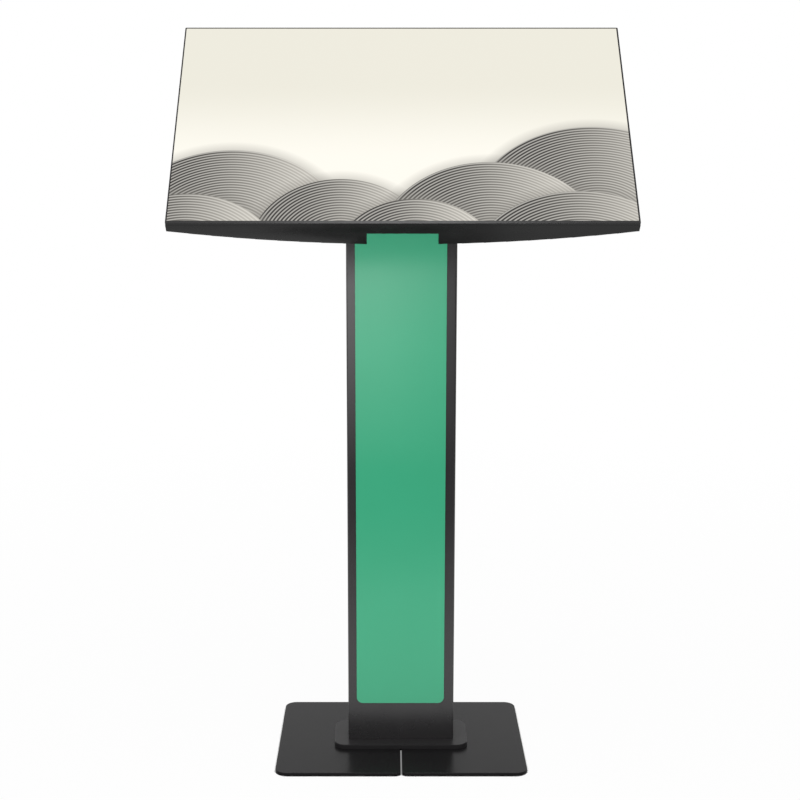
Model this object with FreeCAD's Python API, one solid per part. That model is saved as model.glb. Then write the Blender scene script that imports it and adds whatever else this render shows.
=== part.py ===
import FreeCAD, Part
import math
import os

from FreeCAD import Placement, Rotation, Vector

# Floor stand that holds a landscape display at a reading angle. Lengths are millimetres, angles
# degrees. The origin is on the floor under the middle of the base, +Z is up, and the user
# stands on the -Y side.

# Base: two steel half plates on rubber pads
base_width = 427.0
base_depth = 306.0
base_plate_thickness = 5.0
plate_gap = 3.0
base_outer_radius = 20.0
base_inner_radius = 8.0
base_edge_chamfer = 0.6
pad_thickness = 1.0
pad_radius = 12.0
pad_inset_x = 26.0
pad_inset_y = 26.0
seam_pad_width = 24.0
seam_pad_depth = 100.0

# Foot flange, screwed down across both half plates
flange_width = 232.5
flange_depth = 110.0
flange_thickness = 7.4
flange_radius = 20.0
flange_edge_chamfer = 0.8
base_screw_radius = 4.0
base_screw_head_radius = 7.6
base_screw_head_depth = 3.6
base_screw_x = (36.0, 98.0)
base_screw_y = 38.0
base_screw_end_gap = 1.0

# Column: folded steel channel with its open side at the back
column_width = 184.0
column_depth = 61.0
column_centre_y = -2.0
column_top = 956.0
column_wall = 2.0
column_bend_radius = 3.0
column_lip = 14.0
cap_thickness = 4.0

# Head: two cheeks on the column cap carry the tilt pin
pin_above_cap = 44.0
pin_radius = 5.0
pin_running_gap = 0.05
pin_head_radius = 10.0
pin_head_length = 6.0
pin_thread_end = 3.0
nut_flats_radius = 9.5
nut_length = 8.0
head_plate_thickness = 5.0
head_plate_width = 118.0
head_plate_depth = 54.0
cheek_thickness = 5.0
cheek_inner_half_gap = 38.0
cheek_foot_depth = 50.0
cheek_eye_radius = 17.0
friction_washer_thickness = 1.2
friction_washer_radius = 13.0
head_bolt_radius = 3.0
head_bolt_head_radius = 5.0
head_bolt_head_height = 3.3
head_bolt_x = 50.0
head_bolt_y = 18.0
head_bolt_nut_height = 5.0
side_play = 0.3

# Tilt bracket: plate on the back of the display with two ears to the pin
vesa_spacing = 100.0
vesa_plate_width = 122.0
vesa_plate_height = 122.0
vesa_plate_thickness = 3.0
vesa_plate_radius = 8.0
vesa_screw_radius = 3.0
vesa_screw_head_radius = 5.2
vesa_screw_head_height = 3.2
vesa_screw_reach = 14.0
vesa_window = 44.0
ear_thickness = 5.0
ear_root_height = 76.0
ear_eye_radius = 15.0
pin_behind_plate = 58.2
display_tilt = 45.0

# Display outline, seen square on
display_width = 720.0
display_height = 425.0
display_corner_radius = 2.0
bezel_side = 1.9
bezel_top = 1.5
bezel_bottom = 5.5
bezel_depth = 4.0
parting_gap = 0.2

# Layers of the display, measured back from its front plane
panel_setback = 0.5
panel_thickness = 2.0
panel_edge_gap = 0.3
mid_frame_depth = 4.4
mid_frame_ledge = 4.0
diffuser_thickness = 1.0
light_guide_thickness = 3.0
sheet_edge_gap = 0.4
led_bar_height = 4.0
led_bar_thickness = 2.2
chassis_thickness = 1.2

# Moulded rear shell: deepest in the middle, thin at both sides
shell_centre_depth = 50.3
shell_side_depth = 19.2
shell_top_depth = 26.0
shell_taper_length = 135.0
shell_wall = 2.5
shell_rim_radius = 1.2
recess_width = 110.0
recess_height = 62.0
recess_front = 24.0
standoff_proud = 2.0
standoff_radius = 7.0
shell_boss_radius = 4.5
shell_screw_radius = 1.6
shell_screw_head_radius = 3.0
shell_screw_head_depth = 2.2
shell_screw_inset_x = (220.0, 60.0)
shell_screw_inset_y = 36.0
vent_width = 3.0
vent_length = 34.0
vent_pitch = 8.0
vents_per_row = 14
vent_row_x = 145.0
vent_row_inset = 80.0
grille_hole_radius = 1.5
grille_pitch = 5.0
grille_columns = 12
grille_rows = 3
grille_y = 52.0

# Electronics inside the display
board_thickness = 1.6
board_standoff_height = 5.0
board_standoff_radius = 3.0
board_screw_radius = 1.2
board_screw_head_radius = 2.6
board_screw_head_height = 1.8
board_hole_inset = 6.0
main_board_width = 170.0
main_board_height = 120.0
main_board_x = -170.0
power_board_width = 150.0
power_board_height = 120.0
power_board_x = 165.0
driver_board_width = 230.0
driver_board_height = 24.0
driver_board_inset = 47.0
transformer_size = 34.0
transformer_height = 15.0
capacitor_radius = 7.0
capacitor_length = 15.0
heatsink_size = 40.0
heatsink_height = 11.0
heatsink_foot = 2.0
heatsink_fins = 7
driver_chip_width = 18.0
driver_chip_height = 1.6
speaker_width = 90.0
speaker_height = 34.0
speaker_depth = 12.0
speaker_inset = 135.0

# Sockets in the upper wall of the recess
inlet_width = 27.0
inlet_depth = 17.0
inlet_length = 24.0
inlet_wall = 2.0
inlet_flange = 1.5
inlet_flange_thickness = 1.5
inlet_pin_width = 4.0
inlet_pin_thickness = 2.0
inlet_pin_pitch = 7.0
inlet_x = -30.0
port_block_width = 50.0
port_block_depth = 17.0
port_block_length = 20.0
port_block_x = 22.0
port_sizes = ((15.0, 5.0), (15.0, 5.0), (13.0, 11.0))
port_recess = 3.5
port_pitch = 16.5
socket_fit = 0.2

# Power button low on the right of the shell's back
button_radius = 6.0
button_gap = 0.3
button_travel = 1.0
button_proud = 1.2
button_flange_radius = 7.5
button_flange_thickness = 1.0
button_inset = 64.0
button_y = 92.0
switch_size = 6.0
button_board_margin = 3.0
switch_rest_gap = 0.3

# Graphic panel on the front of the column
graphic_width = 152.0
graphic_x = -1.1
graphic_bottom = 82.0
graphic_top_gap = 12.0
graphic_thickness = 2.2
graphic_radius = 10.5
magnet_sheet_thickness = 0.8
magnet_sheet_inset = 3.0

# Rear door, its rolled hinge edge and its lock
door_thickness = 2.0
door_gap = 0.5
door_end_gap = 2.0
hinge_barrel_radius = 3.0
hinge_pin_radius = 1.5
hinge_pin_reach = 26.0
lock_x = 60.0
lock_height = 560.0
lock_barrel_radius = 8.0
lock_head_radius = 10.5
lock_head_thickness = 2.5
lock_body_length = 16.0
lock_fit = 0.05
lock_nut_radius = 12.0
lock_nut_thickness = 3.0
keyway_width = 1.6
keyway_length = 8.0
keyway_depth = 2.0
cam_thickness = 2.0
cam_width = 14.0
cam_reach = 26.0
cam_lip_gap = 0.5
cam_screw_radius = 4.0
cam_screw_head_radius = 6.0
cam_screw_height = 2.5
grommet_radius = 14.0
grommet_hole_radius = 9.0
grommet_flange = 3.0
grommet_flange_thickness = 1.6
foot_grommet_height = 46.0
cap_grommet_y = 0.0

# Places that follow from the sizes above
plates_top = pad_thickness + base_plate_thickness
flange_top = plates_top + flange_thickness
column_front = column_centre_y - column_depth / 2
column_back = column_centre_y + column_depth / 2
cap_top = column_top + cap_thickness
head_plate_top = cap_top + head_plate_thickness
pin_height = cap_top + pin_above_cap
graphic_top = column_top - graphic_top_gap
opening_half = column_width / 2 - column_lip
hinge_x = -opening_half + door_gap + hinge_barrel_radius
hinge_y = column_back - hinge_barrel_radius
door_bottom = flange_top + door_end_gap
door_top = column_top - door_end_gap
panel_back = panel_setback + panel_thickness
chassis_front = panel_back + mid_frame_depth
chassis_back = chassis_front + chassis_thickness
shell_front = bezel_depth + parting_gap
shell_sag = shell_centre_depth - shell_side_depth
shell_arc_radius = ((display_width / 2) ** 2 + shell_sag ** 2) / (2 * shell_sag)
vesa_seat = shell_centre_depth + standoff_proud
plate_back = vesa_seat + vesa_plate_thickness
pin_depth = plate_back + pin_behind_plate
middle_v = display_height / 2
shell_taper_start = display_height - shell_taper_length
vent_row_y = display_height - vent_row_inset
driver_board_y = display_height - driver_board_inset
speaker_x = display_width / 2 - speaker_inset
button_x = display_width / 2 - button_inset
board_front = chassis_back + board_standoff_height
board_back = board_front + board_thickness
height_tolerance = 1e-6


def box(x0, x1, y0, y1, z0, z1):
    return Part.makeBox(x1 - x0, y1 - y0, z1 - z0, Vector(x0, y0, z0))


def rod(radius, start, end):
    axis = end - start
    return Part.makeCylinder(radius, axis.Length, start, axis)


def rounded_slab(x0, x1, y0, y1, z0, z1, radii):
    """A slab whose upright corners have their own radii: front left, front right, back right,
    back left."""
    corners = [(x0, y0, 1, 1), (x1, y0, -1, 1), (x1, y1, -1, -1), (x0, y1, 1, -1)]
    points = []
    for index, (x, y, sx, sy) in enumerate(corners):
        r = radii[index]
        along_x = Vector(x + sx * r, y, z0)
        along_y = Vector(x, y + sy * r, z0)
        bulge = r * (1 - math.sqrt(0.5))
        middle = Vector(x + sx * bulge, y + sy * bulge, z0)
        first, last = (along_y, along_x) if index in (0, 2) else (along_x, along_y)
        points.append((first, middle, last))
    edges = []
    for index, (first, middle, last) in enumerate(points):
        edges.append(Part.Arc(first, middle, last).toShape())
        following = points[(index + 1) % 4][0]
        edges.append(Part.LineSegment(last, following).toShape())
    return Part.Face(Part.Wire(edges)).extrude(Vector(0, 0, z1 - z0))


def edges_at_height(shape, z):
    return [e for e in shape.Edges if all(abs(v.Point.z - z) < height_tolerance for v in e.Vertexes)]


def on_display(shape):
    """Stand a piece up that was made lying on its back: across, up the screen, out of the front."""
    tilt = math.radians(display_tilt)
    along = Vector(0, math.cos(tilt), math.sin(tilt))
    inward = Vector(0, math.sin(tilt), -math.cos(tilt))
    pin = Vector(0, column_centre_y, pin_height)
    corner = pin - along * middle_v - inward * pin_depth
    placed = shape.copy()
    placed.Placement = Placement(corner, Rotation(Vector(1, 0, 0), display_tilt))
    return placed


def layer(x0, x1, v0, v1, front, back):
    return box(x0, x1, v0, v1, -back, -front)


def spike(radius, x, v, front, back):
    return rod(radius, Vector(x, v, -front), Vector(x, v, -back))


# Base

def base_plate(side):
    inner = side * plate_gap / 2
    outer = side * base_width / 2
    x0, x1 = min(inner, outer), max(inner, outer)
    left, right = base_outer_radius, base_inner_radius
    if side > 0:
        left, right = right, left
    half_depth = base_depth / 2
    plate = rounded_slab(x0, x1, -half_depth, half_depth, pad_thickness, plates_top,
                         (left, right, right, left))
    plate = plate.makeChamfer(base_edge_chamfer, edges_at_height(plate, plates_top))
    for x in base_screw_x:
        for y in (-base_screw_y, base_screw_y):
            plate = plate.cut(base_screw(side * x, column_centre_y + y))
    return plate


def base_screw(x, y):
    tip = flange_top - base_screw_end_gap
    shank = rod(base_screw_radius, Vector(x, y, pad_thickness), Vector(x, y, tip))
    head = Part.makeCone(base_screw_head_radius, base_screw_radius, base_screw_head_depth,
                         Vector(x, y, pad_thickness))
    return shank.fuse(head).removeSplitter()


def base_screws():
    spots = [(side * x, column_centre_y + y) for side in (-1, 1) for x in base_screw_x
             for y in (-base_screw_y, base_screw_y)]
    return Part.Compound([base_screw(x, y) for x, y in spots])


def floor_pads():
    xs = [base_width / 2 - pad_inset_x, plate_gap / 2 + pad_inset_x + seam_pad_width / 2]
    y = base_depth / 2 - pad_inset_y
    pads = [rod(pad_radius, Vector(sx * x, sy * y, 0), Vector(sx * x, sy * y, pad_thickness))
            for x in xs for sx in (-1, 1) for sy in (-1, 1)]
    return Part.Compound(pads)


def seam_pad():
    half_width, half_depth = seam_pad_width / 2, seam_pad_depth / 2
    return box(-half_width, half_width, -half_depth, half_depth, 0, pad_thickness)


def foot_flange():
    half_width, half_depth = flange_width / 2, flange_depth / 2
    flange = rounded_slab(-half_width, half_width, column_centre_y - half_depth,
                          column_centre_y + half_depth, plates_top, flange_top,
                          (flange_radius,) * 4)
    flange = flange.makeChamfer(flange_edge_chamfer, edges_at_height(flange, flange_top))
    for side in (-1, 1):
        for x in base_screw_x:
            for y in (-base_screw_y, base_screw_y):
                flange = flange.cut(base_screw(side * x, column_centre_y + y))
    return flange.cut(hinge_pin_low())


# Column and its rear door

def column_body():
    half = column_width / 2
    outer_radius = column_bend_radius
    inner_radius = column_bend_radius - column_wall
    outer = rounded_slab(-half, half, column_front, column_back, flange_top, column_top,
                         (outer_radius,) * 4)
    inner = rounded_slab(-half + column_wall, half - column_wall, column_front + column_wall,
                         column_back - column_wall, flange_top, column_top, (inner_radius,) * 4)
    mouth = box(-opening_half, opening_half, column_back - 2 * column_wall, column_back,
                flange_top, column_top)
    return outer.cut(inner).cut(mouth)


def hinge_pin_low():
    return rod(hinge_pin_radius, Vector(hinge_x, hinge_y, plates_top),
               Vector(hinge_x, hinge_y, door_bottom + hinge_pin_reach))


def hinge_pin_high():
    return rod(hinge_pin_radius, Vector(hinge_x, hinge_y, door_top - hinge_pin_reach),
               Vector(hinge_x, hinge_y, cap_top))


def door_hinge_pins():
    return Part.Compound([hinge_pin_low(), hinge_pin_high()])


def column_cap():
    half = column_width / 2
    cap = rounded_slab(-half, half, column_front, column_back, column_top, cap_top,
                       (column_bend_radius,) * 4)
    for x, y in head_bolt_spots():
        cap = cap.cut(rod(head_bolt_radius, Vector(x, y, column_top), Vector(x, y, cap_top)))
    cap = cap.cut(rod(grommet_radius, Vector(0, column_centre_y + cap_grommet_y, column_top),
                      Vector(0, column_centre_y + cap_grommet_y, cap_top)))
    return cap.cut(hinge_pin_high())


def rear_door():
    right = opening_half - door_gap
    plate = box(hinge_x, right, column_back - door_thickness, column_back, door_bottom, door_top)
    barrel = rod(hinge_barrel_radius, Vector(hinge_x, hinge_y, door_bottom),
                 Vector(hinge_x, hinge_y, door_top))
    bore = rod(hinge_pin_radius + pin_running_gap, Vector(hinge_x, hinge_y, door_bottom),
               Vector(hinge_x, hinge_y, door_top))
    door = plate.fuse(barrel).removeSplitter().cut(bore)
    lock_hole = rod(lock_barrel_radius, Vector(lock_x, column_back - door_thickness, lock_height),
                    Vector(lock_x, column_back, lock_height))
    cable_hole = rod(grommet_radius, Vector(0, column_back - door_thickness, foot_grommet_height),
                     Vector(0, column_back, foot_grommet_height))
    return door.cut(lock_hole).cut(cable_hole)


def lock_housing():
    """Threaded sleeve of the lock: a flange outside the door and a bore for the turning plug."""
    front = Vector(lock_x, column_back + lock_head_thickness, lock_height)
    face = Vector(lock_x, column_back, lock_height)
    rear = Vector(lock_x, column_back - lock_body_length, lock_height)
    bore = rod(lock_plug_radius() + lock_fit, front, rear)
    return rod(lock_head_radius, front, face).fuse(rod(lock_barrel_radius, face, rear)).cut(bore)


def lock_plug_radius():
    return lock_barrel_radius - column_wall


def lock_nut():
    start = Vector(lock_x, column_back - door_thickness, lock_height)
    end = Vector(lock_x, column_back - door_thickness - lock_nut_thickness, lock_height)
    hexagon = [start + Vector(lock_nut_radius * math.cos(math.radians(a)), 0,
                              lock_nut_radius * math.sin(math.radians(a)))
               for a in range(0, 361, 60)]
    nut = Part.Face(Part.makePolygon(hexagon)).extrude(end - start)
    return nut.cut(rod(lock_barrel_radius, start, end))


def lock_plug():
    """Turning plug with its key slot, as long as the sleeve, with a square end for the cam."""
    face = column_back + lock_head_thickness
    front = Vector(lock_x, face, lock_height)
    rear = Vector(lock_x, cam_front(), lock_height)
    tail = Vector(lock_x, cam_front() - cam_thickness, lock_height)
    plug = rod(lock_plug_radius(), front, rear).fuse(rod(cam_screw_radius, rear, tail))
    slot = box(lock_x - keyway_width / 2, lock_x + keyway_width / 2, face - keyway_depth, face,
               lock_height - keyway_length / 2, lock_height + keyway_length / 2)
    return plug.removeSplitter().cut(slot)


def cam_front():
    """Outer face of the cam, just behind the end of the lock's sleeve."""
    return column_back - lock_body_length - side_play


def lock_cam():
    """Turned up when the door is unlocked. Its tip steps out to lie close behind the lip."""
    rear = cam_front() - cam_thickness
    arm = box(lock_x - cam_width / 2, lock_x + cam_width / 2, rear, cam_front(),
              lock_height - cam_width / 2, lock_height + cam_reach)
    tip_bottom = lock_height + cam_reach - cam_thickness
    step = box(lock_x - cam_width / 2, lock_x + cam_width / 2, rear,
               column_back - column_wall - cam_lip_gap, tip_bottom, lock_height + cam_reach)
    hole = rod(cam_screw_radius, Vector(lock_x, rear, lock_height),
               Vector(lock_x, cam_front(), lock_height))
    return arm.fuse(step).removeSplitter().cut(hole)


def cam_screw():
    start = Vector(lock_x, cam_front() - cam_thickness, lock_height)
    return rod(cam_screw_head_radius, start, start - Vector(0, cam_screw_height, 0))


def grommet(centre, axis, sheet):
    """Rubber grommet in a sheet that starts at centre and is sheet thick along axis."""
    far = centre + axis * sheet
    body = rod(grommet_radius, centre, far)
    near_rim = rod(grommet_radius + grommet_flange, centre - axis * grommet_flange_thickness, centre)
    far_rim = rod(grommet_radius + grommet_flange, far, far + axis * grommet_flange_thickness)
    hole = rod(grommet_hole_radius, centre - axis * grommet_flange_thickness,
               far + axis * grommet_flange_thickness)
    return body.fuse([near_rim, far_rim]).removeSplitter().cut(hole)


def foot_grommet():
    return grommet(Vector(0, column_back - door_thickness, foot_grommet_height),
                   Vector(0, 1, 0), door_thickness)


def cap_grommet():
    return grommet(Vector(0, column_centre_y + cap_grommet_y, column_top), Vector(0, 0, 1),
                   cap_thickness)


# Graphic panel

def graphic_outline(inset, rear, thickness):
    half = graphic_width / 2 - inset
    radius = graphic_radius - inset
    slab = rounded_slab(graphic_x - half, graphic_x + half, graphic_bottom + inset,
                        graphic_top - inset, 0, thickness, (radius,) * 4)
    slab.Placement = Placement(Vector(0, rear, 0), Rotation(Vector(1, 0, 0), 90))
    return slab


def graphic_panel():
    return graphic_outline(0, column_front - magnet_sheet_thickness, graphic_thickness)


def magnet_sheet():
    return graphic_outline(magnet_sheet_inset, column_front, magnet_sheet_thickness)


# Head of the column

def head_bolt_spots():
    return [(x, column_centre_y + y) for x in (-head_bolt_x, head_bolt_x)
            for y in (-head_bolt_y, head_bolt_y)]


def head_bracket():
    half_width, half_depth = head_plate_width / 2, head_plate_depth / 2
    plate = box(-half_width, half_width, column_centre_y - half_depth,
                column_centre_y + half_depth, cap_top, head_plate_top)
    for x, y in head_bolt_spots():
        plate = plate.cut(rod(head_bolt_radius, Vector(x, y, cap_top), Vector(x, y, head_plate_top)))
    window = rod(grommet_radius + grommet_flange + side_play,
                 Vector(0, column_centre_y + cap_grommet_y, cap_top),
                 Vector(0, column_centre_y + cap_grommet_y, head_plate_top))
    plate = plate.cut(window)
    bracket = plate
    for side in (-1, 1):
        bracket = bracket.fuse(cheek(side))
    return bracket.removeSplitter()


def cheek(side):
    x0 = side * cheek_inner_half_gap
    x1 = side * (cheek_inner_half_gap + cheek_thickness)
    low = min(x0, x1)
    pin = Vector(low, column_centre_y, pin_height)
    across = Vector(cheek_thickness, 0, 0)
    half = cheek_foot_depth / 2
    foot = [Vector(low, column_centre_y - half, cap_top),
            Vector(low, column_centre_y + half, cap_top),
            Vector(low, column_centre_y + half, head_plate_top),
            Vector(low, column_centre_y + cheek_eye_radius, pin_height),
            Vector(low, column_centre_y - cheek_eye_radius, pin_height),
            Vector(low, column_centre_y - half, head_plate_top)]
    blade = Part.Face(Part.makePolygon(foot + foot[:1])).extrude(across)
    eye = rod(cheek_eye_radius, pin, pin + across)
    return blade.fuse(eye).removeSplitter().cut(rod(pin_radius, pin, pin + across))


def head_bolts():
    bolts = []
    for x, y in head_bolt_spots():
        head_top = head_plate_top + head_bolt_head_height
        shank = rod(head_bolt_radius, Vector(x, y, column_top - head_bolt_nut_height),
                    Vector(x, y, head_plate_top))
        head = rod(head_bolt_head_radius, Vector(x, y, head_plate_top), Vector(x, y, head_top))
        nut = rod(head_bolt_head_radius, Vector(x, y, column_top - head_bolt_nut_height),
                  Vector(x, y, column_top))
        bolts.append(shank.fuse([head, nut]).removeSplitter())
    return Part.Compound(bolts)


def pin_line(x):
    return Vector(x, column_centre_y, pin_height)


def tilt_pin():
    outer = cheek_inner_half_gap + cheek_thickness
    head = rod(pin_head_radius, pin_line(-outer - pin_head_length), pin_line(-outer))
    shank = rod(pin_radius, pin_line(-outer), pin_line(outer + nut_length + pin_thread_end))
    return head.fuse(shank).removeSplitter()


def tilt_nut():
    start = pin_line(cheek_inner_half_gap + cheek_thickness)
    corners = [start + Vector(0, nut_flats_radius * math.cos(math.radians(a)),
                              nut_flats_radius * math.sin(math.radians(a)))
               for a in range(0, 361, 60)]
    nut = Part.Face(Part.makePolygon(corners)).extrude(Vector(nut_length, 0, 0))
    return nut.cut(rod(pin_radius, start, start + Vector(nut_length, 0, 0)))


def friction_washers():
    washers = []
    for side in (-1, 1):
        outer = pin_line(side * cheek_inner_half_gap)
        inner = pin_line(side * (cheek_inner_half_gap - friction_washer_thickness))
        washers.append(rod(friction_washer_radius, inner, outer).cut(rod(pin_radius, inner, outer)))
    return Part.Compound(washers)


def ear_outer_half():
    return cheek_inner_half_gap - friction_washer_thickness - side_play


def tilt_bracket():
    half_width, half_height = vesa_plate_width / 2, vesa_plate_height / 2
    plate = rounded_slab(-half_width, half_width, middle_v - half_height, middle_v + half_height,
                         -plate_back, -vesa_seat, (vesa_plate_radius,) * 4)
    for x, v in vesa_spots():
        plate = plate.cut(spike(vesa_screw_radius, x, v, vesa_seat, plate_back))
    window = vesa_window / 2
    plate = plate.cut(layer(-window / 2, window / 2, middle_v - window, middle_v + window,
                            vesa_seat, plate_back))
    bracket = plate
    for side in (-1, 1):
        bracket = bracket.fuse(ear(side))
    return on_display(bracket.removeSplitter())


def ear(side):
    outer = side * ear_outer_half()
    inner = side * (ear_outer_half() - ear_thickness)
    low = min(outer, inner)
    across = Vector(ear_thickness, 0, 0)
    half = ear_root_height / 2
    outline = [Vector(low, middle_v - half, -plate_back), Vector(low, middle_v + half, -plate_back),
               Vector(low, middle_v + ear_eye_radius, -pin_depth),
               Vector(low, middle_v - ear_eye_radius, -pin_depth)]
    blade = Part.Face(Part.makePolygon(outline + outline[:1])).extrude(across)
    centre = Vector(low, middle_v, -pin_depth)
    eye = rod(ear_eye_radius, centre, centre + across)
    bore = rod(pin_radius + pin_running_gap, centre, centre + across)
    return blade.fuse(eye).removeSplitter().cut(bore)


def vesa_spots():
    half = vesa_spacing / 2
    return [(x, middle_v + v) for x in (-half, half) for v in (-half, half)]


def vesa_screws():
    screws = []
    for x, v in vesa_spots():
        head = spike(vesa_screw_head_radius, x, v, plate_back, plate_back + vesa_screw_head_height)
        shank = spike(vesa_screw_radius, x, v, plate_back - vesa_screw_reach, plate_back)
        screws.append(on_display(head.fuse(shank).removeSplitter()))
    return Part.Compound(screws)


# Display, front to back

def bezel_frame():
    half = display_width / 2
    ring = rounded_slab(-half, half, 0, display_height, -bezel_depth, 0,
                        (display_corner_radius,) * 4)
    window = layer(-half + bezel_side, half - bezel_side, bezel_bottom,
                   display_height - bezel_top, 0, bezel_depth)
    return on_display(ring.cut(window))


def lcd_panel():
    half = display_width / 2 - bezel_side - panel_edge_gap
    return on_display(layer(-half, half, bezel_bottom + panel_edge_gap,
                            display_height - bezel_top - panel_edge_gap, panel_setback,
                            panel_back))


def mid_frame_outer():
    """Half width, foot and top of the frame that holds the panel off the lamps."""
    inset = shell_wall + panel_edge_gap
    return display_width / 2 - inset, inset, display_height - inset


def mid_frame():
    half, _, top = mid_frame_outer()
    foot = bezel_bottom + panel_edge_gap
    ring = layer(-half, half, foot, top, panel_back, chassis_front)
    window = layer(-half + mid_frame_ledge, half - mid_frame_ledge, bezel_bottom + mid_frame_ledge,
                   top - mid_frame_ledge, panel_back, chassis_front)
    return on_display(ring.cut(window))


def sheet(front, back, foot_inset):
    half, _, top = mid_frame_outer()
    side = mid_frame_ledge + sheet_edge_gap
    return layer(-half + side, half - side, bezel_bottom + side + foot_inset, top - side, front,
                 back)


def light_guide():
    back = chassis_front
    foot = led_bar_height + sheet_edge_gap
    return on_display(sheet(back - light_guide_thickness, back, foot))


def diffuser():
    back = chassis_front - light_guide_thickness
    return on_display(sheet(back - diffuser_thickness, back, 0))


def led_bar():
    half, _, _ = mid_frame_outer()
    side = mid_frame_ledge + sheet_edge_gap
    foot = bezel_bottom + side
    return on_display(layer(-half + side, half - side, foot, foot + led_bar_height,
                            chassis_front - led_bar_thickness, chassis_front))


def rear_chassis():
    half, foot, top = mid_frame_outer()
    return on_display(layer(-half, half, foot, top, chassis_front, chassis_back))


def bowed_depth(x):
    """Depth of the back where it is bowed from side to side."""
    return shell_centre_depth - shell_arc_radius + math.sqrt(shell_arc_radius ** 2 - x ** 2)


def tapered_depth(v):
    """Depth of the flat that thins the back towards the top edge."""
    fall = (shell_centre_depth - shell_top_depth) / (display_height - shell_taper_start)
    return shell_centre_depth - max(0, v - shell_taper_start) * fall


def shell_depth_at(x, v, inset):
    """Depth of the shell's back at a place on it, less an inset."""
    return min(bowed_depth(x), tapered_depth(v)) - inset


def shell_prism(half, v0, v1, front, inset):
    """A block under the bowed and tapered back: its section is drawn, run up the screen and
    cut by the taper."""
    side = Vector(half, v0, -bowed_depth(half) + inset)
    middle = Vector(0, v0, -bowed_depth(0) + inset)
    other = Vector(-half, v0, -bowed_depth(half) + inset)
    section = Part.Wire([
        Part.LineSegment(Vector(-half, v0, -front), Vector(half, v0, -front)).toShape(),
        Part.LineSegment(Vector(half, v0, -front), side).toShape(),
        Part.Arc(side, middle, other).toShape(),
        Part.LineSegment(other, Vector(-half, v0, -front)).toShape()])
    block = Part.Face(section).extrude(Vector(0, v1 - v0, 0))
    beyond = 2 * shell_centre_depth
    outline = [Vector(-half, shell_taper_start, -tapered_depth(shell_taper_start) + inset),
               Vector(-half, display_height, -tapered_depth(display_height) + inset),
               Vector(-half, display_height, -beyond), Vector(-half, shell_taper_start, -beyond)]
    wedge = Part.Face(Part.makePolygon(outline + outline[:1])).extrude(Vector(2 * half, 0, 0))
    return block.cut(wedge)


def recess_block(margin, front, back):
    half = recess_width / 2 + margin
    return layer(-half, half, 0, recess_height + margin, front, back)


def shell_screw_spots():
    rows = (shell_screw_inset_y, display_height - shell_screw_inset_y)
    columns = [display_width / 2 - inset for inset in shell_screw_inset_x]
    return [(side * x, v) for x in columns for side in (-1, 1) for v in rows]


def rear_shell():
    outer = shell_prism(display_width / 2, 0, display_height, shell_front, 0)
    rim = [e for e in outer.Edges if all(v.Point.z < -shell_front - 1 for v in e.Vertexes)]
    outer = outer.makeFillet(shell_rim_radius, rim)
    cavity = shell_prism(display_width / 2 - shell_wall, shell_wall, display_height - shell_wall,
                         shell_front, shell_wall)
    shell = outer.cut(cavity)
    pocket = recess_block(shell_wall, recess_front - shell_wall, shell_centre_depth)
    shell = shell.fuse(pocket.common(outer))
    shell = shell.cut(recess_block(0, recess_front, shell_centre_depth + 1))
    bosses = []
    drills = []
    for x, v in shell_screw_spots():
        seat = shell_depth_at(x, v, shell_wall / 2)
        outside = shell_depth_at(x, v, 0)
        bosses.append(spike(shell_boss_radius, x, v, chassis_back, seat))
        drills.append(spike(shell_screw_radius, x, v, chassis_back, outside))
        drills.append(spike(shell_screw_head_radius, x, v, outside - shell_screw_head_depth,
                            outside + 1))
    for x, v in vesa_spots():
        drills.append(spike(standoff_radius, x, v, chassis_back, shell_centre_depth + 1))
    drills.append(spike(button_radius + button_gap, button_x, button_y, chassis_back,
                        shell_centre_depth))
    shell = shell.fuse(bosses)
    return on_display(shell.cut(drills + vent_slots() + grille_holes() + socket_cuts()))


def vent_slots():
    slots = []
    for side in (-1, 1):
        for index in range(vents_per_row):
            x = side * vent_row_x + (index - (vents_per_row - 1) / 2) * vent_pitch
            slots.append(layer(x - vent_width / 2, x + vent_width / 2, vent_row_y - vent_length / 2,
                               vent_row_y + vent_length / 2, shell_side_depth, shell_centre_depth))
    return slots


def grille_holes():
    holes = []
    for side in (-1, 1):
        for column in range(grille_columns):
            for row in range(grille_rows):
                x = side * speaker_x + (column - (grille_columns - 1) / 2) * grille_pitch
                v = grille_y + (row - (grille_rows - 1) / 2) * grille_pitch
                holes.append(spike(grille_hole_radius, x, v, shell_side_depth, shell_centre_depth))
    return holes


def shell_screws():
    screws = []
    for x, v in shell_screw_spots():
        seat = shell_depth_at(x, v, 0) - shell_screw_head_depth
        head = spike(shell_screw_head_radius, x, v, seat, seat + shell_screw_head_depth / 2)
        shank = spike(shell_screw_radius, x, v, chassis_back, seat)
        screws.append(on_display(head.fuse(shank).removeSplitter()))
    return Part.Compound(screws)


def vesa_standoffs():
    posts = []
    for x, v in vesa_spots():
        post = spike(standoff_radius, x, v, chassis_back, vesa_seat)
        hole = spike(vesa_screw_radius, x, v, plate_back - vesa_screw_reach, vesa_seat)
        posts.append(on_display(post.cut(hole)))
    return Part.Compound(posts)


# Electronics

def board_spots():
    """Screw places of the two large boards."""
    boards = ((main_board_x, middle_v, main_board_width, main_board_height),
              (power_board_x, middle_v, power_board_width, power_board_height))
    spots = []
    for x, v, width, height in boards:
        dx, dv = width / 2 - board_hole_inset, height / 2 - board_hole_inset
        spots += [(x + sx * dx, v + sv * dv) for sx in (-1, 1) for sv in (-1, 1)]
    return spots


def board(x, v, width, height):
    slab = layer(x - width / 2, x + width / 2, v - height / 2, v + height / 2, board_front,
                 board_back)
    for hx, hv in board_spots():
        slab = slab.cut(spike(board_screw_radius, hx, hv, board_front, board_back))
    return slab


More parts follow.
